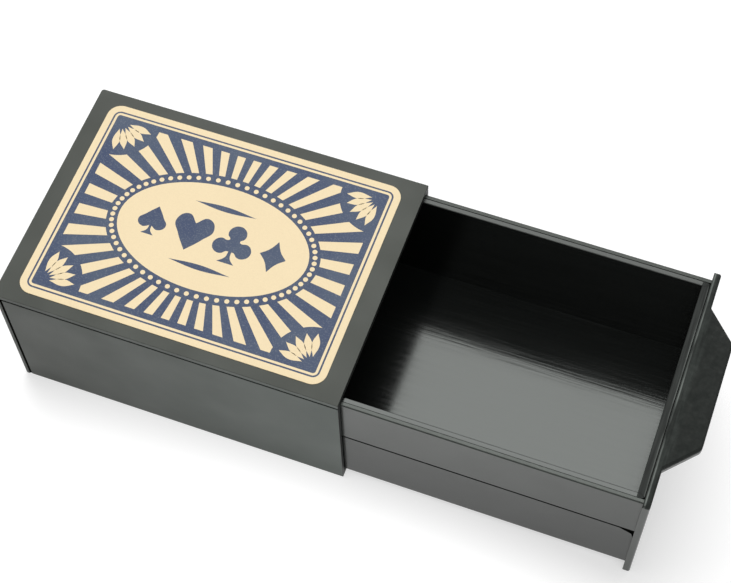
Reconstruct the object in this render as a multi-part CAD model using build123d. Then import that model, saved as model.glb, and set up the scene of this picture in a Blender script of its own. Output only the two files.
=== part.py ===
from build123d import *
import math
import os

# Magic drawer box: a small plastic case that is open at one end, with a drawer that
# slides out of it along +X. Inside the drawer lies a loose tray. With the tongue in the
# case's base pressed up, the tray stays behind in the case and the drawer comes out empty.
#
# Millimetres. The origin is the centre of the case's underside, +X is the way the drawer
# is pulled, +Z is up. The model stands with drawer and tray pulled out together.

os.makedirs("parts", exist_ok=True)

# ---- Case: U-shaped body, flat top panel and flat end panel, cemented together
case_length = 60.0
case_width = 43.4
case_height = 28.2
case_side_wall = 0.8
case_base_thickness = 1.2
case_top_thickness = 1.2
case_back_thickness = 1.1
case_back_corner_radius = 0.5
case_top_edge_radius = 0.06
case_foot_radius = 0.3
case_top_seam_bevel = 0.25
case_end_seam_bevel = 0.28

# ---- Printed label on the top panel
label_length = 53.5
label_width = 39.1
label_thickness = 0.12
label_corner_radius = 2.4
label_shift = -0.2

# ---- How much shorter the drawer's travel is than the case
travel_shortfall = 11.0

# ---- Drawer: front plate with pull tab and upper side walls in one moulding
front_plate_thickness = 1.2
front_plate_edge_radius = 0.35
front_plate_top_corner_radius = 1.0
front_plate_foot_corner_radius = 0.5
front_plate_gap = 0.25
drawer_side_clearance = 0.15
drawer_top_clearance = 0.25
drawer_rear_clearance = 0.3
drawer_wall = 0.7
drawer_rim_radius = 0.22
drawer_seam_height = 15.0
drawer_seam_bevel = 0.3
tab_root_width = 29.7
tab_tip_width = 19.2
tab_reach = 4.9
tab_thickness = 1.8
tab_corner_radius = 1.2
tab_edge_bevel = 0.35

# ---- Drawer: floor channel, cemented under the upper side walls
channel_floor_thickness = 1.0
channel_floor_clearance = 0.25
channel_side_recess = 0.05
channel_edge_radius = 0.5
seam_opening_length = 3.0
seam_opening_height = 1.3
seam_opening_depth = 0.3
plate_opening_height = 2.7
plate_opening_width = 0.35

# ---- Tray that lies loose in the drawer
tray_side_clearance = 0.08
tray_floor_clearance = 0.2
tray_front_clearance = 0.1
tray_rim_drop = 0.05
tray_side_wall = 0.85
tray_front_wall = 1.2
tray_rear_wall = 0.9
tray_floor_thickness = 1.0
tray_corner_radius = 0.5
tray_rim_outer_radius = 0.04
tray_rim_inner_radius = 0.2

# ---- Hold-back tongue, which stands in a window in the case's base
tongue_mouth_setback = 9.5
tongue_length = 19.0
tongue_width = 6.0
tongue_window_gap = 0.35
tongue_underside_recess = 0.15
tongue_end_radius = 1.5
tongue_slot_clearance = 0.5
nub_setback = 2.0
nub_length = 2.0
nub_width = 4.0
nub_edge_radius = 0.25
nub_top_clearance = 0.25
nub_pocket_clearance = 0.6
nub_pocket_headroom = 0.15
# Degrees that the tongue turns up when it is pressed.
tongue_lift_angle = 2.5

# ---- Places that follow from the sizes above, with the drawer and tray pushed in
case_rear_x = -case_length / 2
case_mouth_x = case_length / 2
case_back_inner_x = case_rear_x + case_back_thickness
case_side_y = case_width / 2
case_inner_y = case_side_y - case_side_wall
case_ceiling_z = case_height - case_top_thickness

drawer_side_y = case_inner_y - drawer_side_clearance
drawer_inner_y = drawer_side_y - drawer_wall
drawer_rim_z = case_ceiling_z - drawer_top_clearance
drawer_rear_x = case_back_inner_x + drawer_rear_clearance
plate_inner_x = case_mouth_x + front_plate_gap
plate_outer_x = plate_inner_x + front_plate_thickness
tab_tip_x = plate_outer_x + tab_reach

channel_side_y = drawer_side_y - channel_side_recess
channel_bottom_z = case_base_thickness + channel_floor_clearance
channel_floor_z = channel_bottom_z + channel_floor_thickness

tray_side_y = drawer_inner_y - tray_side_clearance
tray_inner_y = tray_side_y - tray_side_wall
tray_bottom_z = channel_floor_z + tray_floor_clearance
tray_floor_z = tray_bottom_z + tray_floor_thickness
tray_rim_z = drawer_rim_z - tray_rim_drop
tray_front_x = plate_inner_x - tray_front_clearance
tray_rear_x = drawer_rear_x

tongue_tip_x = case_mouth_x - tongue_mouth_setback
tongue_root_x = tongue_tip_x - tongue_length
nub_front_x = tongue_tip_x - nub_setback
nub_rear_x = nub_front_x - nub_length
nub_top_z = tray_bottom_z - nub_top_clearance
nub_lift = (nub_front_x - tongue_root_x) * math.sin(math.radians(tongue_lift_angle))
nub_pocket_depth = nub_lift - nub_top_clearance + nub_pocket_headroom

# What slides is built pushed in, and then moved by its whole travel to where it stands open.
travel = case_length - travel_shortfall
pulled_out = Pos(travel, 0, 0)
# A cut runs this far past the face that it opens.
overrun = 1.0


def block(x_low, x_high, half_width, z_low, z_high):
    """A box that is centred across the case."""
    centre = Pos((x_low + x_high) / 2, 0, (z_low + z_high) / 2)
    return centre * Box(x_high - x_low, 2 * half_width, z_high - z_low)


def edges_at(shape, side, place):
    """The edges of a solid, or of a list, that lie in the plane at this place on X, Y or Z."""

    def in_plane(edge):
        box = edge.bounding_box()
        return max(abs(getattr(box.min, side) - place), abs(getattr(box.max, side) - place)) < 0.01

    edges = shape if isinstance(shape, ShapeList) else shape.edges()
    return edges.filter_by(in_plane)


def side_edges(shape, side, place):
    """The same, for a pair of planes at equal distances from the centre."""
    return edges_at(shape, side, -place) + edges_at(shape, side, place)


def limited(radius, *walls):
    """A radius or bevel, kept within the walls that it is cut from."""
    return min(radius, *(0.9 * wall for wall in walls))


def save(name, solid):
    solid.label = name
    export_step(solid, f"parts/{name}.step")


# ---- Case body: base and both side walls in one moulding, with a window in the base and a
# bevel along the seams of the top and end panels
case_body = block(case_back_inner_x, case_mouth_x, case_side_y, 0, case_ceiling_z)
foot_edges = side_edges(edges_at(case_body, "Z", 0), "Y", case_side_y)
case_body = fillet(foot_edges, limited(case_foot_radius, case_side_wall, case_base_thickness))
case_body -= block(
    case_back_inner_x - overrun,
    case_mouth_x + overrun,
    case_inner_y,
    case_base_thickness,
    case_ceiling_z + overrun,
)
case_body -= block(
    tongue_root_x - tongue_window_gap,
    tongue_tip_x + tongue_window_gap,
    tongue_width / 2 + tongue_window_gap,
    -overrun,
    case_base_thickness + overrun,
)
top_bar_side = math.sqrt(2) * limited(case_top_seam_bevel, case_side_wall)
end_bar_side = math.sqrt(2) * limited(case_end_seam_bevel, case_side_wall)
seam_bar_length = 2 * (case_length + case_width + case_height)
for side_y in (-case_side_y, case_side_y):
    top_seam_bar = Rot(45, 0, 0) * Box(seam_bar_length, top_bar_side, top_bar_side)
    end_seam_bar = Rot(0, 0, 45) * Box(end_bar_side, end_bar_side, seam_bar_length)
    case_body -= Pos(0, side_y, case_ceiling_z) * top_seam_bar
    case_body -= Pos(case_back_inner_x, side_y, 0) * end_seam_bar
save("case_body", case_body)

# ---- End panel: closes the rear, with round upright corners and a bevel at each side seam
case_back = block(case_rear_x, case_back_inner_x, case_side_y, 0, case_ceiling_z)
corner_radius = limited(case_back_corner_radius, case_back_thickness)
rear_uprights = side_edges(edges_at(case_back, "X", case_rear_x), "Y", case_side_y)
case_back = fillet(rear_uprights, corner_radius)
seam_uprights = side_edges(edges_at(case_back, "X", case_back_inner_x), "Y", case_side_y)
case_back = chamfer(seam_uprights, limited(case_end_seam_bevel, case_back_thickness - corner_radius))
save("case_back", case_back)

# ---- Top panel: lies on the walls and the end panel, with a bevel along its seam
case_top = block(case_rear_x, case_mouth_x, case_side_y, case_ceiling_z, case_height)
rear_uprights = side_edges(edges_at(case_top, "X", case_rear_x), "Y", case_side_y)
case_top = fillet(rear_uprights, corner_radius)
upper_edge_radius = limited(case_top_edge_radius, case_top_thickness / 2, corner_radius)
case_top = fillet(edges_at(case_top, "Z", case_height), upper_edge_radius)
seam_edges = edges_at(case_top, "Z", case_ceiling_z)
seam_edges = seam_edges.filter_by_position(Axis.X, case_rear_x, case_mouth_x, (True, False))
case_top = chamfer(seam_edges, limited(case_top_seam_bevel, case_top_thickness / 2, corner_radius))
save("case_top", case_top)

# ---- Label: a thin sticker with round corners on the top panel
label_plan = Pos(label_shift, 0) * RectangleRounded(label_length, label_width, label_corner_radius)
save("label", Pos(0, 0, case_height) * extrude(label_plan, label_thickness))

# ---- Hold-back tongue: springs about its rear end, with a nub near its round tip
tongue = block(
    tongue_root_x,
    tongue_tip_x,
    tongue_width / 2,
    tongue_underside_recess,
    case_base_thickness,
)
tip_uprights = side_edges(edges_at(tongue, "X", tongue_tip_x), "Y", tongue_width / 2)
tongue = fillet(tip_uprights, limited(tongue_end_radius, nub_setback, tongue_width / 2))
nub = block(nub_rear_x, nub_front_x, nub_width / 2, case_base_thickness, nub_top_z)
nub_radius = limited(nub_edge_radius, nub_top_z - case_base_thickness, nub_length / 2, nub_width / 2)
nub = fillet(edges_at(nub, "Z", nub_top_z), nub_radius)
save("hold_back_tongue", tongue + nub)

# ---- Drawer front: a plate as large as the case's mouth, a pull tab and the upper walls
front_plate = block(plate_inner_x, plate_outer_x, case_side_y, 0, case_height)
top_corner_radius = limited(front_plate_top_corner_radius, (case_width - tab_root_width) / 2)
foot_corner_radius = limited(front_plate_foot_corner_radius, case_height / 2)
top_corners = edges_at(front_plate.edges().filter_by(Axis.X), "Z", case_height)
front_plate = fillet(top_corners, top_corner_radius)
foot_corners = edges_at(front_plate.edges().filter_by(Axis.X), "Z", 0)
front_plate = fillet(foot_corners, foot_corner_radius)
plate_radius = limited(
    front_plate_edge_radius,
    front_plate_thickness / 2,
    top_corner_radius,
    foot_corner_radius,
)
front_plate = fillet(edges_at(front_plate, "X", plate_outer_x), plate_radius)

tab_outline = Polyline(
    (plate_inner_x, -tab_root_width / 2),
    (plate_outer_x, -tab_root_width / 2),
    (tab_tip_x, -tab_tip_width / 2),
    (tab_tip_x, tab_tip_width / 2),
    (plate_outer_x, tab_root_width / 2),
    (plate_inner_x, tab_root_width / 2),
    close=True,
)
tab = Pos(0, 0, case_height - tab_thickness) * extrude(make_face(tab_outline), tab_thickness)
tip_uprights = side_edges(edges_at(tab, "X", tab_tip_x), "Y", tab_tip_width / 2)
tab = fillet(tip_uprights, limited(tab_corner_radius, tab_reach, tab_tip_width / 2))
tab_rim = edges_at(tab, "Z", case_height).filter_by_position(Axis.X, plate_outer_x, tab_tip_x)
tab = chamfer(tab_rim, limited(tab_edge_bevel, tab_thickness / 2))

upper_walls = block(drawer_rear_x, plate_inner_x, drawer_side_y, drawer_seam_height, drawer_rim_z)
rim_edges = side_edges(edges_at(upper_walls, "Z", drawer_rim_z), "Y", drawer_side_y)
upper_walls = fillet(rim_edges, limited(drawer_rim_radius, drawer_wall))
wall_seam_edges = side_edges(edges_at(upper_walls, "Z", drawer_seam_height), "Y", drawer_side_y)
upper_walls = chamfer(wall_seam_edges, limited(drawer_seam_bevel, drawer_wall))
upper_walls -= block(
    drawer_rear_x - overrun,
    plate_inner_x,
    drawer_inner_y,
    drawer_seam_height - overrun,
    drawer_rim_z + overrun,
)
save("drawer_front", pulled_out * (front_plate + tab + upper_walls))

# ---- Drawer channel: floor and lower side walls, set back a little from the upper walls,
# with a bevel along the seam as on the upper walls
channel = block(drawer_rear_x, plate_inner_x, channel_side_y, channel_bottom_z, drawer_seam_height)
bottom_edges = side_edges(edges_at(channel, "Z", channel_bottom_z), "Y", channel_side_y)
channel = fillet(bottom_edges, limited(channel_edge_radius, channel_floor_thickness))
channel_seam_edges = side_edges(edges_at(channel, "Z", drawer_seam_height), "Y", channel_side_y)
channel = chamfer(channel_seam_edges, limited(drawer_seam_bevel, channel_side_y - drawer_inner_y))
channel -= block(
    drawer_rear_x - overrun,
    plate_inner_x + overrun,
    drawer_inner_y,
    channel_floor_z,
    drawer_seam_height + overrun,
)
channel -= block(
    drawer_rear_x - overrun,
    tongue_tip_x + tongue_slot_clearance,
    tongue_width / 2 + tongue_slot_clearance,
    channel_bottom_z - overrun,
    channel_floor_z + overrun,
)
# On the outside the seam stands open where it runs out at the plate, and down the plate.
seam_opening = Polyline(
    (plate_inner_x - seam_opening_length, drawer_seam_height),
    (plate_inner_x, drawer_seam_height),
    (plate_inner_x, drawer_seam_height - plate_opening_height),
    (plate_inner_x - plate_opening_width, drawer_seam_height - seam_opening_height),
    close=True,
)
opening_depth = limited(seam_opening_depth, channel_side_y - drawer_inner_y)
opening_solid = extrude(Plane.XZ * make_face(seam_opening), channel_side_y + overrun, both=True)
opening_solid -= block(
    drawer_rear_x,
    plate_inner_x + overrun,
    channel_side_y - opening_depth,
    channel_bottom_z,
    drawer_seam_height + overrun,
)
channel -= opening_solid
save("drawer_channel", pulled_out * channel)

# ---- Tray: an open box that lies loose in the drawer, with a blind pocket for the nub
tray = block(tray_rear_x, tray_front_x, tray_side_y, tray_bottom_z, tray_rim_z)
tray_uprights = side_edges(tray.edges().filter_by(Axis.Z), "Y", tray_side_y)
tray = fillet(tray_uprights, limited(tray_corner_radius, tray_side_wall))
outer_rim_radius = limited(tray_rim_outer_radius, tray_side_wall / 2)
tray = fillet(edges_at(tray, "Z", tray_rim_z), outer_rim_radius)
tray -= block(
    tray_rear_x + tray_rear_wall,
    tray_front_x - tray_front_wall,
    tray_inner_y,
    tray_floor_z,
    tray_rim_z + overrun,
)
inner_rim = edges_at(tray, "Z", tray_rim_z)
inner_rim = inner_rim.filter_by_position(Axis.Y, -tray_inner_y, tray_inner_y)
inner_rim = inner_rim.filter_by_position(
    Axis.X,
    tray_rear_x + tray_rear_wall,
    tray_front_x - tray_front_wall,
)
tray = fillet(inner_rim, limited(tray_rim_inner_radius, tray_side_wall / 2))
tray -= block(
    nub_rear_x - nub_pocket_clearance,
    nub_front_x + nub_pocket_clearance,
    nub_width / 2 + nub_pocket_clearance,
    tray_bottom_z - overrun,
    tray_bottom_z + nub_pocket_depth,
)
save("secret_tray", pulled_out * tray)
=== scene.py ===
import bmesh
import bpy
import math
from mathutils import Matrix, Vector


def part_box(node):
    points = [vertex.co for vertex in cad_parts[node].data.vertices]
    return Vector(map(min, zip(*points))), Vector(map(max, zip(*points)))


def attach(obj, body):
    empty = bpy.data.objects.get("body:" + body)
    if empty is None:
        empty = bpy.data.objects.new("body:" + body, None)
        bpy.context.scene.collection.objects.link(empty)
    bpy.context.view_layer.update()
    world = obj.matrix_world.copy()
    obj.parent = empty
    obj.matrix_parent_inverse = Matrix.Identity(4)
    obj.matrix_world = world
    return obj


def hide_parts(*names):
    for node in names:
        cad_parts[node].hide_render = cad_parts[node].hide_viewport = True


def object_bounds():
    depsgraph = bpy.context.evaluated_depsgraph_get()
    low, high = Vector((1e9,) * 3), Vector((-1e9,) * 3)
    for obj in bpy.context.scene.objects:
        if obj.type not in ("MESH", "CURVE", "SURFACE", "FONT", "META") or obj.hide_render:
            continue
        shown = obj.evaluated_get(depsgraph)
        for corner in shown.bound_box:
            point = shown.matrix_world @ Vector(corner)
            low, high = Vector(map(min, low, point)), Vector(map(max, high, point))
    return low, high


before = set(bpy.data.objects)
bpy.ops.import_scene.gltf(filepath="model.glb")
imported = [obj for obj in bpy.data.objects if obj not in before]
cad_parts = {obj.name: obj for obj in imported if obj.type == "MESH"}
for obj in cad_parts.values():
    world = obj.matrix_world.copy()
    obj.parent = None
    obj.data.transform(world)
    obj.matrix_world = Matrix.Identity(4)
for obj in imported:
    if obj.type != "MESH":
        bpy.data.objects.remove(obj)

solid_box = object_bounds()
bpy.ops.object.select_all(action='DESELECT')

# ---------------------------------------------------------------------------------------------
# Camera. It stands at the right of the near side and looks steeply down, so that the label,
# the near wall of the drawer and the inside of the tray all show. Its lens is fairly long, so
# the perspective is mild.

mm = 0.001
camera_azimuth = math.radians(22.05)
camera_elevation = math.radians(60.90)
camera_roll = math.radians(-2.22)
camera_distance = 307.7 * mm
camera_right = 24.54 * mm
camera_up = 5.05 * mm

toward_camera = Vector((math.sin(camera_azimuth) * math.cos(camera_elevation),
                        -math.cos(camera_azimuth) * math.cos(camera_elevation),
                        math.sin(camera_elevation)))
level_right = Vector((0, 0, 1)).cross(toward_camera).normalized()
level_up = toward_camera.cross(level_right)
image_right = math.cos(camera_roll) * level_right + math.sin(camera_roll) * level_up
image_up = -math.sin(camera_roll) * level_right + math.cos(camera_roll) * level_up
camera_place = toward_camera * camera_distance + image_right * camera_right + image_up * camera_up

bpy.ops.object.camera_add()
camera = bpy.context.object
camera.name = "camera"
camera.data.lens = 84.41
camera.data.sensor_width = 36
camera.data.clip_start = 10 * mm
camera.matrix_world = Matrix.Translation(camera_place) @ Matrix(
    (image_right, image_up, toward_camera)).transposed().to_4x4()
bpy.context.scene.camera = camera
bpy.context.scene.view_settings.view_transform = "Standard"

# ---------------------------------------------------------------------------------------------
# Floor. A wide white table top under the case and the front plate of the drawer. It glows for
# the camera and for mirrored rays, most of all in a painted pool of light by the near side of
# the box.


class Finish:
    """A material under construction: its node tree with a Principled shader in it."""

    def __init__(self, name):
        self.material = bpy.data.materials.new(name)
        self.material.use_nodes = True
        self.tree = self.material.node_tree
        self.shader = self.tree.nodes["Principled BSDF"]
        self.place = self.node("ShaderNodeTexCoord").outputs["Object"]

    def node(self, kind, **settings):
        made = self.tree.nodes.new(kind)
        for key, value in settings.items():
            setattr(made, key, value)
        return made

    def feed(self, socket, value):
        """Links an output to a socket, or sets the socket to a plain value."""
        if isinstance(value, bpy.types.NodeSocket):
            self.tree.links.new(value, socket)
        else:
            socket.default_value = value

    def sums(self, operation, *values):
        """The result of an operation on outputs or plain values."""
        made = self.node("ShaderNodeMath", operation=operation)
        for socket, value in zip(made.inputs, values):
            self.feed(socket, value)
        return made.outputs[0]

    def span(self, first, second):
        """The distance over two parts that lie square to each other."""
        squares = [self.sums("MULTIPLY", part, part) for part in (first, second)]
        return self.sums("SQRT", self.sums("ADD", *squares))

    def noise(self, size, detail=3.0, roughness=0.5, place=None):
        """Noise from 0 to 1 whose lumps are about as wide as size."""
        made = self.node("ShaderNodeTexNoise")
        made.inputs["Scale"].default_value = 1 / size
        made.inputs["Detail"].default_value = detail
        made.inputs["Roughness"].default_value = roughness
        self.feed(made.inputs["Vector"], place or self.place)
        return made.outputs["Fac"]

    def streaks(self, width, across, along, up):
        """Noise drawn out into streaks. A small factor draws it out along that direction."""
        made = self.node("ShaderNodeMapping")
        made.inputs["Scale"].default_value = (across, along, up)
        self.feed(made.inputs["Vector"], self.place)
        return self.noise(width, place=made.outputs["Vector"])

    def axes(self):
        """The place on the object along X, Y and Z."""
        made = self.node("ShaderNodeSeparateXYZ")
        self.feed(made.inputs[0], self.place)
        return made.outputs

    def spread(self, value, low_in, high_in, low_out, high_out):
        """A value carried over from one range to another and held within it."""
        made = self.node("ShaderNodeMapRange")
        for socket, entry in zip(made.inputs, (value, low_in, high_in, low_out, high_out)):
            self.feed(socket, entry)
        return made.outputs["Result"]

    def above(self, value, edge, blur):
        """A mask that turns from 0 to 1 where a value passes an edge."""
        return self.spread(value, edge - blur / 2, edge + blur / 2, 0.0, 1.0)

    def near(self, value, place, reach, blur):
        """A mask that is 1 within a reach of a place and fades out over the blur."""
        away = self.sums("ABSOLUTE", self.sums("SUBTRACT", value, place))
        return self.spread(away, reach, reach + blur, 1.0, 0.0)

    def both(self, *masks):
        """Where all the masks are 1."""
        product = masks[0]
        for mask in masks[1:]:
            product = self.sums("MULTIPLY", product, mask)
        return product

    def mixed(self, share, first, second):
        """Two colours mixed by a share."""
        made = self.node("ShaderNodeMix", data_type="RGBA")
        self.feed(made.inputs[0], share)
        self.feed(made.inputs[6], first)
        self.feed(made.inputs[7], second)
        return made.outputs[2]

    def bump(self, height, depth):
        """A surface that a height from 0 to 1 raises by up to a depth."""
        made = self.node("ShaderNodeBump")
        made.inputs["Distance"].default_value = depth
        self.feed(made.inputs["Height"], height)
        return made.outputs["Normal"]

    def set(self, **values):
        """Sets sockets of the Principled shader by name, with _ for a space."""
        for key, value in values.items():
            self.feed(self.shader.inputs[key.replace("_", " ")], value)


pool_x = 25 * mm
pool_y = -37 * mm
pool_stretch = 5
pool_core = 2 * mm
pool_edge = 18 * mm

table = Finish("white_table")
ray = table.node("ShaderNodeLightPath").outputs
seen = table.sums("MAXIMUM", table.sums("MAXIMUM", ray["Is Camera Ray"], ray["Is Glossy Ray"]),
                  ray["Is Transmission Ray"])
x, y = table.axes()[:2]
# Painted light: the glow is strongest in a long pool by the near side of the box.
across = table.sums("DIVIDE", table.sums("SUBTRACT", x, pool_x), pool_stretch)
off_pool = table.span(across, table.sums("SUBTRACT", y, pool_y))
painted_light_pool = table.spread(off_pool, pool_core, pool_edge, 1.0, 0.50)
white = table.mixed(table.noise(40 * mm), (0.54, 0.54, 0.54, 1), (0.56, 0.56, 0.56, 1))
table.set(Base_Color=white, Roughness=0.8, Specular_IOR_Level=0.1,
          Emission_Color=(1, 1, 1, 1), Emission_Strength=table.sums("MULTIPLY", seen, painted_light_pool))

floor_reach = 6.0
bpy.ops.mesh.primitive_plane_add(size=floor_reach, location=(0, 0, solid_box[0].z))
floor = bpy.context.object
floor.name = "floor"
bpy.ops.object.transform_apply(location=True, rotation=True, scale=True)
floor.data.materials.append(table.material)

# ---------------------------------------------------------------------------------------------
# Light. Five soft lamps stand round the box. The strongest hangs behind it, where level faces
# mirror it, and the others are above, in front and at both ends. The room adds a grey light.

box_middle = Vector((25 * mm, 0, 14 * mm))


def soft_lamp(name, azimuth, elevation, distance, width, height, radiance):
    """A rectangle of soft light that faces the box, with its brightness as radiance."""
    a, e = math.radians(azimuth), math.radians(elevation)
    outward = Vector((math.sin(a) * math.cos(e), -math.cos(a) * math.cos(e), math.sin(e)))
    bpy.ops.object.light_add(type='AREA', location=box_middle + outward * distance)
    lamp = bpy.context.object
    lamp.name = name
    lamp.rotation_euler = outward.to_track_quat('Z', 'Y').to_euler()
    lamp.data.shape = 'RECTANGLE'
    lamp.data.size = width
    lamp.data.size_y = height
    lamp.data.energy = radiance * math.pi * width * height


soft_lamp("lamp_behind", 200, 60, 1.5, 1.1, 1.1, 4.7)
soft_lamp("lamp_above", 0, 82, 1.6, 0.9, 0.9, 1.2)
soft_lamp("lamp_front", 12, 48, 1.5, 1.2, 0.6, 1.6)
soft_lamp("lamp_right", 66, 18, 1.4, 0.6, 0.5, 1.8)
soft_lamp("lamp_left", 285, 30, 1.6, 0.8, 0.8, 0.9)

room = bpy.data.worlds.new("room")
room.use_nodes = True
room.node_tree.nodes["Background"].inputs["Color"].default_value = (0.30, 0.30, 0.30, 1)
bpy.context.scene.world = room

# ---------------------------------------------------------------------------------------------
# Case: base and side walls, end panel, top panel and the tongue in the base, all of satin dark
# grey plastic with a very fine grain. The sides are painted lighter than the top and lighter
# towards the mouth, as painted light; the end faces of the mouth are painted dark as shade, and
# strips of dark painted shade lie in the seams.


def screen_colour(red, green, blue):
    """The light values of a colour given in the 0 to 255 steps of a screen."""
    def light(step):
        share = step / 255
        return share / 12.92 if share <= 0.04045 else ((share + 0.055) / 1.055) ** 2.4
    return light(red), light(green), light(blue), 1.0


def coat_node(name, material):
    """Gives a node of the frame its finish."""
    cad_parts[name].material_slots[0].material = material


def settle(piece, name, material):
    """Names a finished piece, puts its place in its mesh and gives it its material."""
    piece.name = name
    piece.data.name = name
    bpy.ops.object.transform_apply(location=True, rotation=True, scale=True)
    piece.data.materials.clear()
    piece.data.materials.append(material)
    return piece


mouth_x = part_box("case_body")[1].x
case_side_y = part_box("case_body")[1].y
case_top_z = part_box("case_top")[1].z
top_seam_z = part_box("case_top")[0].z
rear_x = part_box("case_back")[0].x
end_seam_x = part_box("case_back")[1].x
crisp_blur = 0.02 * mm
mouth_end_shade_depth = 0.04 * mm
flank_depth = 0.1 * mm
flank_drop = 0.12 * mm

case_grey = Finish("satin_case_plastic")
cloud = case_grey.noise(9 * mm)
grain = case_grey.noise(0.12 * mm, detail=2)
x, y, z = case_grey.axes()
# Painted shade: the end faces of the walls at the mouth are painted nearly black.
mouth_end_shade = case_grey.above(x, mouth_x - mouth_end_shade_depth, mouth_end_shade_depth)
# Painted light: the side faces are painted lighter than the top, and lighter still towards the mouth.
beside = case_grey.above(case_grey.sums("ABSOLUTE", y), case_side_y - flank_depth, crisp_blur)
under_top = case_grey.above(case_grey.sums("SUBTRACT", case_top_z, z), flank_drop, crisp_blur)
top_colour = case_grey.mixed(cloud, screen_colour(36, 38, 33), screen_colour(42, 44, 39))
painted_side_light = case_grey.mixed(case_grey.spread(x, rear_x, mouth_x, 0, 1),
                               screen_colour(48, 51, 47), screen_colour(76, 83, 79))
painted_light_case_colour = case_grey.mixed(case_grey.both(beside, under_top), top_colour, painted_side_light)
case_grey.set(Base_Color=case_grey.mixed(mouth_end_shade, painted_light_case_colour, screen_colour(9, 10, 9)),
              Roughness=case_grey.spread(cloud, 0.3, 0.7, 0.50, 0.58),
              Specular_IOR_Level=0.55,
              Specular_Tint=(0.95, 1.0, 0.94, 1),
              Normal=case_grey.bump(grain, 0.004 * mm))
for name in ("case_body", "case_back", "case_top", "hold_back_tongue"):
    coat_node(name, case_grey.material)

# Painted shade: dark strips set in the seams stand for the shade in them.
seam_shade = Finish("painted_seam_shade")
seam_shade_colour = seam_shade.mixed(seam_shade.noise(2 * mm), screen_colour(10, 11, 10),
                             screen_colour(24, 26, 24))
seam_shade.set(Base_Color=seam_shade_colour, Roughness=0.9, Specular_IOR_Level=0.0)


def seam_shade_strip(name, body, x_span, y_span, z_span):
    """A strip of painted seam shade, as a dark box between the given places, which stays on a body."""
    spans = (x_span, y_span, z_span)
    bpy.ops.mesh.primitive_cube_add(size=1, location=[sum(span) / 2 for span in spans],
                                    scale=[max(span) - min(span) for span in spans])
    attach(settle(bpy.context.object, name, seam_shade.material), body)


case_strip_face = case_side_y - 0.05 * mm
case_strip_back = case_side_y - 0.25 * mm
top_strip_half = 0.22 * mm
end_strip_half = 0.24 * mm
strip_inset = 0.02 * mm
strip_rear_x = rear_x + 0.5 * mm
strip_foot_z = 0.3 * mm
# Strips of painted shade in the seams of the top and end panels with the side walls.
for side, sign in (("far", 1), ("near", -1)):
    depth = (sign * case_strip_back, sign * case_strip_face)
    seam_shade_strip(side + "_top_seam", "case", (strip_rear_x, mouth_x - strip_inset), depth,
              (top_seam_z - top_strip_half, top_seam_z + top_strip_half))
    seam_shade_strip(side + "_end_seam", "case", (end_seam_x - end_strip_half, end_seam_x + end_strip_half),
              depth, (strip_foot_z, top_seam_z))

# ---------------------------------------------------------------------------------------------
# Drawer: the front plate with its tab and upper walls, and the channel under them, of glossy
# dark grey plastic. The tops of the plate and tab are worn dull, with a painted highlight along
# the inner edge of the plate; the channel's walls are painted nearly black as shade, and strips
# of dark painted shade lie in the seam and its open end.

front_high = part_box("drawer_front")[1]
channel_low, channel_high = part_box("drawer_channel")
tray_low, tray_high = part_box("secret_tray")
plate_inner_x = channel_high.x
seam_z = channel_high.z
soft_blur = 0.05 * mm
wide_blur = 0.1 * mm
half_blur = 1 * mm
dull_z = front_high.z - 0.9 * mm
rim_z = tray_high.z - 0.1 * mm
wear_reach = 1.3 * mm
wear_fade = 0.9 * mm
edge_highlight_x = plate_inner_x + 0.28 * mm
edge_highlight_half = 0.05 * mm
edge_highlight_fade = 0.12 * mm

drawer_black = Finish("glossy_drawer_plastic")
cloud = drawer_black.noise(7 * mm)
grain = drawer_black.noise(0.2 * mm, detail=2)
speck = drawer_black.noise(1.1 * mm, detail=5, roughness=0.7)
rub = drawer_black.streaks(0.5 * mm, 1, 0.08, 1)
x, y, z = drawer_black.axes()
dull = drawer_black.both(drawer_black.above(z, dull_z, wide_blur),
                         drawer_black.above(x, plate_inner_x, soft_blur))
far_rim = drawer_black.both(drawer_black.above(y, 0, half_blur),
                            drawer_black.above(z, rim_z, wide_blur))
near_plate = drawer_black.near(x, plate_inner_x, wear_reach, wear_fade)
worn = drawer_black.both(drawer_black.spread(rub, 0.35, 0.75, 0.0, 1.0), near_plate)
# Painted shade: the walls of the channel, below the seam, are painted nearly black.
channel_shade = drawer_black.both(drawer_black.spread(z, seam_z - soft_blur, seam_z, 1, 0),
                          drawer_black.spread(x, plate_inner_x - soft_blur, plate_inner_x, 1, 0))
# Painted highlight: a light line along the inner edge of the plate's top, broken by the rub streaks.
painted_edge_highlight = drawer_black.both(
    dull, drawer_black.near(x, edge_highlight_x, edge_highlight_half, edge_highlight_fade), worn)

top_colour = drawer_black.mixed(drawer_black.spread(speck, 0.35, 0.7, 0, 1),
                                screen_colour(5, 7, 6), screen_colour(16, 19, 18))
top_colour = drawer_black.mixed(worn, top_colour, screen_colour(40, 44, 42))
wall_colour = drawer_black.mixed(channel_shade, screen_colour(34, 37, 34), screen_colour(4, 5, 4))
wall_colour = drawer_black.mixed(drawer_black.spread(speck, 0.45, 0.75, 0, 0.35), wall_colour,
                                 screen_colour(66, 70, 66))
body_colour = drawer_black.mixed(dull, wall_colour, top_colour)
body_colour = drawer_black.mixed(painted_edge_highlight, body_colour, screen_colour(112, 117, 113))
polish = drawer_black.spread(cloud, 0.3, 0.7, 0.20, 0.27)
polish = drawer_black.spread(far_rim, 0, 1, polish, 0.42)
dullness = drawer_black.spread(speck, 0.3, 0.7, 0.66, 0.9)
drawer_black.set(Base_Color=body_colour,
                 Roughness=drawer_black.spread(dull, 0, 1, polish, dullness),
                 Specular_IOR_Level=0.42,
                 Specular_Tint=(0.93, 1.0, 0.94, 1),
                 Normal=drawer_black.bump(grain, 0.003 * mm))
for name in ("drawer_front", "drawer_channel"):
    coat_node(name, drawer_black.material)

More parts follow.
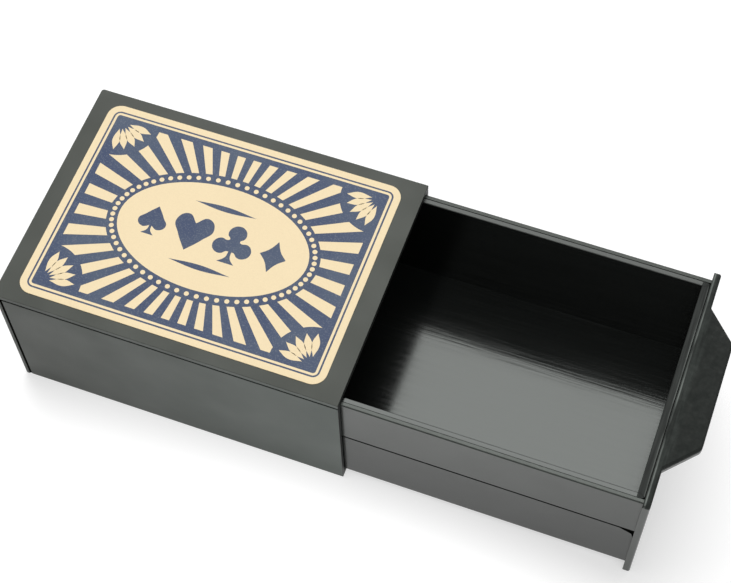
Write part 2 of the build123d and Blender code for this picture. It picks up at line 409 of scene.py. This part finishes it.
channel_recess = 0.05 * mm
drawer_side_y = channel_high.y + channel_recess
seam_strip_face = drawer_side_y - 0.07 * mm
seam_strip_back = drawer_side_y - 0.28 * mm
seam_strip_half = 0.25 * mm
open_strip_face = drawer_side_y - 0.31 * mm
open_strip_back = drawer_side_y - 0.5 * mm
open_strip_length = 3.2 * mm
open_strip_span = (seam_z - 2.8 * mm, seam_z + 0.1 * mm)
# Strips of painted shade in the seam between the upper walls and the channel, and in its open end by
# the plate.
for side, sign in (("far", 1), ("near", -1)):
    seam_shade_strip(side + "_drawer_seam", "drawer", (channel_low.x + strip_inset, plate_inner_x),
              (sign * seam_strip_back, sign * seam_strip_face),
              (seam_z - seam_strip_half, seam_z + seam_strip_half))
    seam_shade_strip(side + "_seam_end", "drawer", (plate_inner_x - open_strip_length, plate_inner_x),
              (sign * open_strip_back, sign * open_strip_face), open_strip_span)

# ---------------------------------------------------------------------------------------------
# Secret tray: an open box of polished black plastic, brushed along its length. Its floor and
# the foot of its walls are a little lighter, and its front rim is dull and rubbed in streaks, with
# a painted highlight along its outer edge and a round line of painted shade at each corner where
# the side rims meet it.

tray_side_wall = 0.85 * mm
tray_front_wall = 1.2 * mm
tray_floor_thickness = 1.0 * mm
tray_inner_y = tray_high.y - tray_side_wall
tray_front_inner_x = tray_high.x - tray_front_wall
tray_floor_z = tray_low.z + tray_floor_thickness
tray_rim_z = tray_high.z - 0.25 * mm
corner_round = 1.3 * mm
corner_shade_half = 0.06 * mm
wall_foot_z = tray_floor_z + 0.28 * mm
wall_foot_half = 0.16 * mm
front_edge_highlight_x = tray_high.x - 0.1 * mm
front_edge_highlight_half = 0.06 * mm


def rim_corner(finish):
    """The corners where the side rims meet the front: how far a point lies from the middle of the
    round line of painted shade there, and a mask of the quarter in front of that middle."""
    x, y = finish.axes()[:2]
    ahead = finish.sums("SUBTRACT", x, tray_front_inner_x)
    inward = finish.sums("SUBTRACT", tray_inner_y + corner_round, finish.sums("ABSOLUTE", y))
    quarter = finish.both(finish.above(ahead, 0, crisp_blur), finish.above(inward, 0, crisp_blur))
    return finish.span(ahead, inward), quarter


tray_black = Finish("polished_tray_plastic")
cloud = tray_black.noise(6 * mm)
brush = tray_black.streaks(0.45 * mm, 0.03, 1, 1)
rub = tray_black.streaks(0.28 * mm, 1, 0.05, 1)
x, y, z = tray_black.axes()
rim = tray_black.above(z, tray_rim_z, soft_blur)
far_rim = tray_black.both(rim, tray_black.above(y, 0, half_blur))
front_rim = tray_black.both(rim, tray_black.above(x, tray_front_inner_x, soft_blur))
worn = tray_black.spread(rub, 0.35, 0.7, 0.0, 1.0)
bottom = tray_black.near(z, tray_floor_z, crisp_blur, crisp_blur)
wall_foot = tray_black.near(z, wall_foot_z, wall_foot_half, wide_blur)
# Painted highlight: a light line along the outer edge of the front rim, broken by the rub streaks.
front_edge_highlight = tray_black.both(
    front_rim, tray_black.near(x, front_edge_highlight_x, front_edge_highlight_half, wide_blur), worn)
distance, quarter = rim_corner(tray_black)
# Painted shade: a thin dark round line where each side rim meets the front rim.
corner_shade_line = tray_black.both(quarter, rim, tray_black.near(distance, corner_round, corner_shade_half, corner_shade_half))

inside_colour = tray_black.mixed(cloud, screen_colour(7, 9, 8), screen_colour(14, 16, 15))
inside_colour = tray_black.mixed(bottom, inside_colour, screen_colour(20, 22, 21))
inside_colour = tray_black.mixed(wall_foot, inside_colour, screen_colour(34, 37, 35))
rim_colour = tray_black.mixed(worn, screen_colour(10, 12, 11), screen_colour(40, 43, 41))
colour = tray_black.mixed(front_rim, inside_colour, rim_colour)
colour = tray_black.mixed(front_edge_highlight, colour, screen_colour(104, 108, 105))
colour = tray_black.mixed(corner_shade_line, colour, screen_colour(4, 5, 4))
polish = tray_black.spread(brush, 0.3, 0.7, 0.10, 0.17)
polish = tray_black.spread(far_rim, 0, 1, polish, 0.36)
tray_black.set(Base_Color=colour,
               Roughness=tray_black.spread(front_rim, 0, 1, polish, 0.78),
               Specular_IOR_Level=0.55,
               Specular_Tint=(0.95, 1.0, 0.96, 1),
               Normal=tray_black.bump(brush, 0.012 * mm))
coat_node("secret_tray", tray_black.material)

# ---------------------------------------------------------------------------------------------
# Label. A sticker of cream paper with round corners, printed in dark blue with a framed field
# of rays round an oval of the four card suits. It is stuck flat on the top panel. Each printed
# layer stands a few thousandths of a millimetre above the last.

label_low, label_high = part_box("label")
label_middle = (label_low + label_high) / 2
label_reach = (label_high - label_low) / 2
paper_thickness = 0.10 * mm
film_step = 0.005 * mm
label_corner = 2.4 * mm
frame_margin = 1.2 * mm
frame_line = 0.3 * mm
frame_gap = 0.42 * mm
paper_top = label_low.z + paper_thickness

paper = Finish("cream_paper")
fibre = paper.noise(0.22 * mm, detail=4)
stain = paper.noise(14 * mm)
sheet_colour = paper.mixed(stain, screen_colour(228, 209, 171), screen_colour(235, 216, 178))
paper.set(Base_Color=paper.mixed(paper.spread(fibre, 0.35, 0.75, 0.0, 0.35), sheet_colour,
                                 screen_colour(216, 196, 158)),
          Roughness=0.62, Specular_IOR_Level=0.25,
          Normal=paper.bump(fibre, 0.004 * mm))

ink = Finish("blue_printing_ink")
fibre = ink.noise(0.22 * mm, detail=4)
patch = ink.noise(10 * mm)
field_colour = ink.mixed(ink.spread(patch, 0.35, 0.65, 0, 1), screen_colour(44, 60, 92),
                         screen_colour(62, 76, 98))
rubbed = ink.spread(fibre, 0.52, 0.72, 0.0, 0.55)
ink.set(Base_Color=ink.mixed(rubbed, field_colour, screen_colour(112, 118, 130)),
        Roughness=0.5, Specular_IOR_Level=0.3,
        Normal=ink.bump(fibre, 0.004 * mm))


def pick(kind, test):
    """Selects, in edit mode, the faces or edges of the active piece that pass a test."""
    bpy.ops.mesh.select_mode(type=kind)
    bpy.ops.mesh.select_all(action='DESELECT')
    shape = bmesh.from_edit_mesh(bpy.context.object.data)
    for part in shape.faces if kind == 'FACE' else shape.edges:
        part.select_set(test(part))
    bmesh.update_edit_mesh(bpy.context.object.data)


def printed(piece):
    """Makes a piece part of the label: it stays on the case."""
    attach(piece, "case")


def lies_level_at(height):
    """A test for faces that look up and lie at a height."""
    return lambda face: face.normal.z > 0.9 and abs(face.calc_center_median().z - height) < film_step


bpy.ops.mesh.primitive_cube_add(size=1, location=(label_middle.x, label_middle.y,
                                                  label_low.z + paper_thickness / 2),
                                scale=(2 * label_reach.x, 2 * label_reach.y, paper_thickness))
sheet = settle(bpy.context.object, "label_sheet", paper.material)
sheet.data.materials.append(ink.material)
bpy.ops.object.mode_set(mode='EDIT')
pick('EDGE', lambda edge: abs(edge.verts[0].co.z - edge.verts[1].co.z) > paper_thickness / 2)
bpy.ops.mesh.bevel(offset=label_corner, segments=10, affect='EDGES')
for border, printing in ((frame_margin, 1), (frame_line, 0), (frame_gap, 1)):
    pick('FACE', lambda face: lies_level_at(paper_top)(face) and len(face.verts) > 4)
    bpy.ops.mesh.inset(thickness=border)
    bpy.context.object.active_material_index = printing
    bpy.ops.object.material_slot_assign()
bpy.ops.object.mode_set(mode='OBJECT')
printed(sheet)
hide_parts("label")

frame_width = frame_margin + frame_line + frame_gap
field_reach = Vector((label_reach.x - frame_width, label_reach.y - frame_width))


def film_top(layer):
    """The height of a printed layer. Each lies a little above the last."""
    return paper_top + layer * film_step


def disc(name, reach_x, reach_y, material, top, at=(0, 0), corners=96):
    """A flat oval of print, with its place given from the label's middle."""
    bpy.ops.mesh.primitive_cylinder_add(
        vertices=corners, radius=1, depth=1,
        location=(label_middle.x + at[0], label_middle.y + at[1], (top + label_low.z + film_step) / 2),
        scale=(reach_x, reach_y, top - label_low.z - film_step))
    return settle(bpy.context.object, name, material)


def joined(pieces, name):
    """Joins printed pieces of one colour and layer into one piece."""
    bpy.ops.object.select_all(action='DESELECT')
    for piece in pieces:
        piece.select_set(True)
    bpy.context.view_layer.objects.active = pieces[0]
    bpy.ops.object.join()
    pieces[0].name = name
    pieces[0].data.name = name
    printed(pieces[0])


def outline_film(outline, material, top, at=(0, 0), size=1.0, turn=0.0):
    """A flat shape of print. Its outline is a closed curve through points (x, y, kind), where
    AUTO is a round point and VECTOR a corner, in shares of its size."""
    bpy.ops.object.add(type='CURVE', location=(label_middle.x + at[0], label_middle.y + at[1],
                                               (top + paper_top - film_step) / 2),
                       rotation=(0, 0, turn))
    curve = bpy.context.object
    curve.data.dimensions = '2D'
    curve.data.fill_mode = 'BOTH'
    curve.data.resolution_u = 10
    curve.data.extrude = (top - paper_top + film_step) / 2
    line = curve.data.splines.new('BEZIER')
    line.bezier_points.add(len(outline) - 1)
    for point, (x, y, kind) in zip(line.bezier_points, outline):
        point.co = (x * size, y * size, 0)
        point.handle_left_type = point.handle_right_type = kind
    line.use_cyclic_u = True
    curve.select_set(True)
    bpy.ops.object.convert(target='MESH')
    return settle(bpy.context.object, "print", material)


# The rays run out from the middle and are cut off at a rectangle inside the frame.
ray_count = 36
ray_margin = 1.1 * mm
ray_field = field_reach - Vector((ray_margin, ray_margin))
ray_reach = ray_field.length * 1.2
half_width = math.tan(math.pi / ray_count / 2) * ray_reach
ray_top = film_top(1)
rays = []
for number in range(ray_count):
    ray = outline_film(((0, 0, 'VECTOR'), (ray_reach, -half_width, 'VECTOR'),
                        (ray_reach, half_width, 'VECTOR')), paper.material, ray_top,
                       turn=2 * math.pi * (number + 0.5) / ray_count)
    rays.append(ray)
joined(rays, "label_rays")
bpy.ops.object.mode_set(mode='EDIT')
for side, reach in (((1, 0, 0), ray_field.x), ((-1, 0, 0), ray_field.x),
                    ((0, 1, 0), ray_field.y), ((0, -1, 0), ray_field.y)):
    bpy.ops.mesh.select_all(action='SELECT')
    place = Vector((label_middle.x, label_middle.y, ray_top)) + Vector(side) * reach
    bpy.ops.mesh.bisect(plane_co=place, plane_no=side, clear_outer=True, use_fill=True)
bpy.ops.object.mode_set(mode='OBJECT')

# Dark blue grounds under the oval and in the four corners.
oval_reach = Vector((18.6 * mm, 12.0 * mm))
corner_reach = 7.0 * mm
ground_top = film_top(2)
grounds = [disc("ground", oval_reach.x, oval_reach.y, ink.material, ground_top)]
corners = [(sign_x * ray_field.x, sign_y * ray_field.y) for sign_x in (-1, 1) for sign_y in (-1, 1)]
for corner in corners:
    grounds.append(disc("ground", corner_reach, corner_reach, ink.material, ground_top, at=corner,
                        corners=64))
    bpy.ops.object.mode_set(mode='EDIT')
    for side in ((math.copysign(1, corner[0]), 0, 0), (0, math.copysign(1, corner[1]), 0)):
        bpy.ops.mesh.select_all(action='SELECT')
        place = Vector((label_middle.x + corner[0], label_middle.y + corner[1], ground_top))
        bpy.ops.mesh.bisect(plane_co=place, plane_no=side, clear_outer=True, use_fill=True)
    bpy.ops.object.mode_set(mode='OBJECT')
joined(grounds, "label_grounds")

# Cream over the grounds: the oval, a ring of beads round it and a fan of petals in each corner.
bead_line = 0.95 * mm
bead_reach = 0.42 * mm
bead_count = 64
cream_oval = oval_reach - Vector((1, 1)) * 2 * bead_line
petal_outline = ((0, 0, 'VECTOR'), (0.55, -0.15, 'AUTO'), (1, 0, 'VECTOR'), (0.55, 0.15, 'AUTO'))
petal_length = 4.3 * mm
petal_count = 5
petal_start = 1.6 * mm
petal_turn = math.radians(18)
cream_top = film_top(3)
creams = [disc("cream", cream_oval.x, cream_oval.y, paper.material, cream_top)]
for number in range(bead_count):
    turn = 2 * math.pi * number / bead_count
    creams.append(disc("cream", bead_reach, bead_reach, paper.material, cream_top, corners=14,
                       at=((oval_reach.x - bead_line) * math.cos(turn),
                           (oval_reach.y - bead_line) * math.sin(turn))))
for corner in corners:
    inward = math.atan2(-math.copysign(1, corner[1]), -math.copysign(1, corner[0]))
    for number in range(petal_count):
        turn = inward + petal_turn * (number - (petal_count - 1) / 2)
        start = (corner[0] + petal_start * math.cos(turn), corner[1] + petal_start * math.sin(turn))
        creams.append(outline_film(petal_outline, paper.material, cream_top, at=start,
                                   size=petal_length, turn=turn))
joined(creams, "label_creams")

# Dark blue on the cream oval: the row of the four suits and a spindle on either side of it.


def round_stretch(middle, reach, first, last, steps):
    """Points of an outline on a circle, between two angles in degrees."""
    turns = [math.radians(first + (last - first) * step / (steps - 1)) for step in range(steps)]
    return [(middle[0] + reach * math.cos(turn), middle[1] + reach * math.sin(turn), 'AUTO')
            for turn in turns]


def both_sides(right_half):
    """An outline from its right half, which starts and ends near the middle line."""
    left_half = [(-x, y, kind) for x, y, kind in reversed(right_half) if x > 0]
    return list(right_half) + left_half


stem = [(0.20, -0.5, 'VECTOR'), (0.06, -0.36, 'AUTO'), (0.035, -0.2, 'VECTOR')]
heart = both_sides([(0, -0.5, 'VECTOR'), (0.30, -0.12, 'AUTO'), (0.47, 0.2, 'AUTO'),
                    (0.25, 0.45, 'AUTO'), (0, 0.25, 'VECTOR')])
spade = both_sides(stem + [(0.24, -0.29, 'AUTO'), (0.44, -0.1, 'AUTO'), (0.27, 0.17, 'AUTO'),
                           (0, 0.5, 'VECTOR')])
club = both_sides(stem + round_stretch((0.255, -0.1), 0.2, -150, 118, 7)
                  + round_stretch((0, 0.28), 0.21, -55, 90, 5)[:-1] + [(0, 0.49, 'AUTO')])
diamond = both_sides([(0, -0.5, 'VECTOR'), (0.16, -0.21, 'AUTO'), (0.38, 0, 'VECTOR'),
                      (0.16, 0.21, 'AUTO'), (0, 0.5, 'VECTOR')])
spindle = both_sides([(0, -0.045, 'AUTO'), (0.5, 0, 'VECTOR'), (0, 0.045, 'AUTO')])

# Each suit with its place along the row and its size, in millimetres.
suit_row = ((spade, -10.7, 5.6), (heart, -3.7, 7.2), (club, 3.7, 7.4), (diamond, 10.7, 6.0))
spindle_y = 5.9 * mm
spindle_length = 11 * mm
motif_top = film_top(4)
motifs = [outline_film(outline, ink.material, motif_top, at=(x * mm, 0), size=size * mm)
          for outline, x, size in suit_row]
for y in (-spindle_y, spindle_y):
    motifs.append(outline_film(spindle, ink.material, motif_top, at=(0, y), size=spindle_length))
joined(motifs, "label_suits")
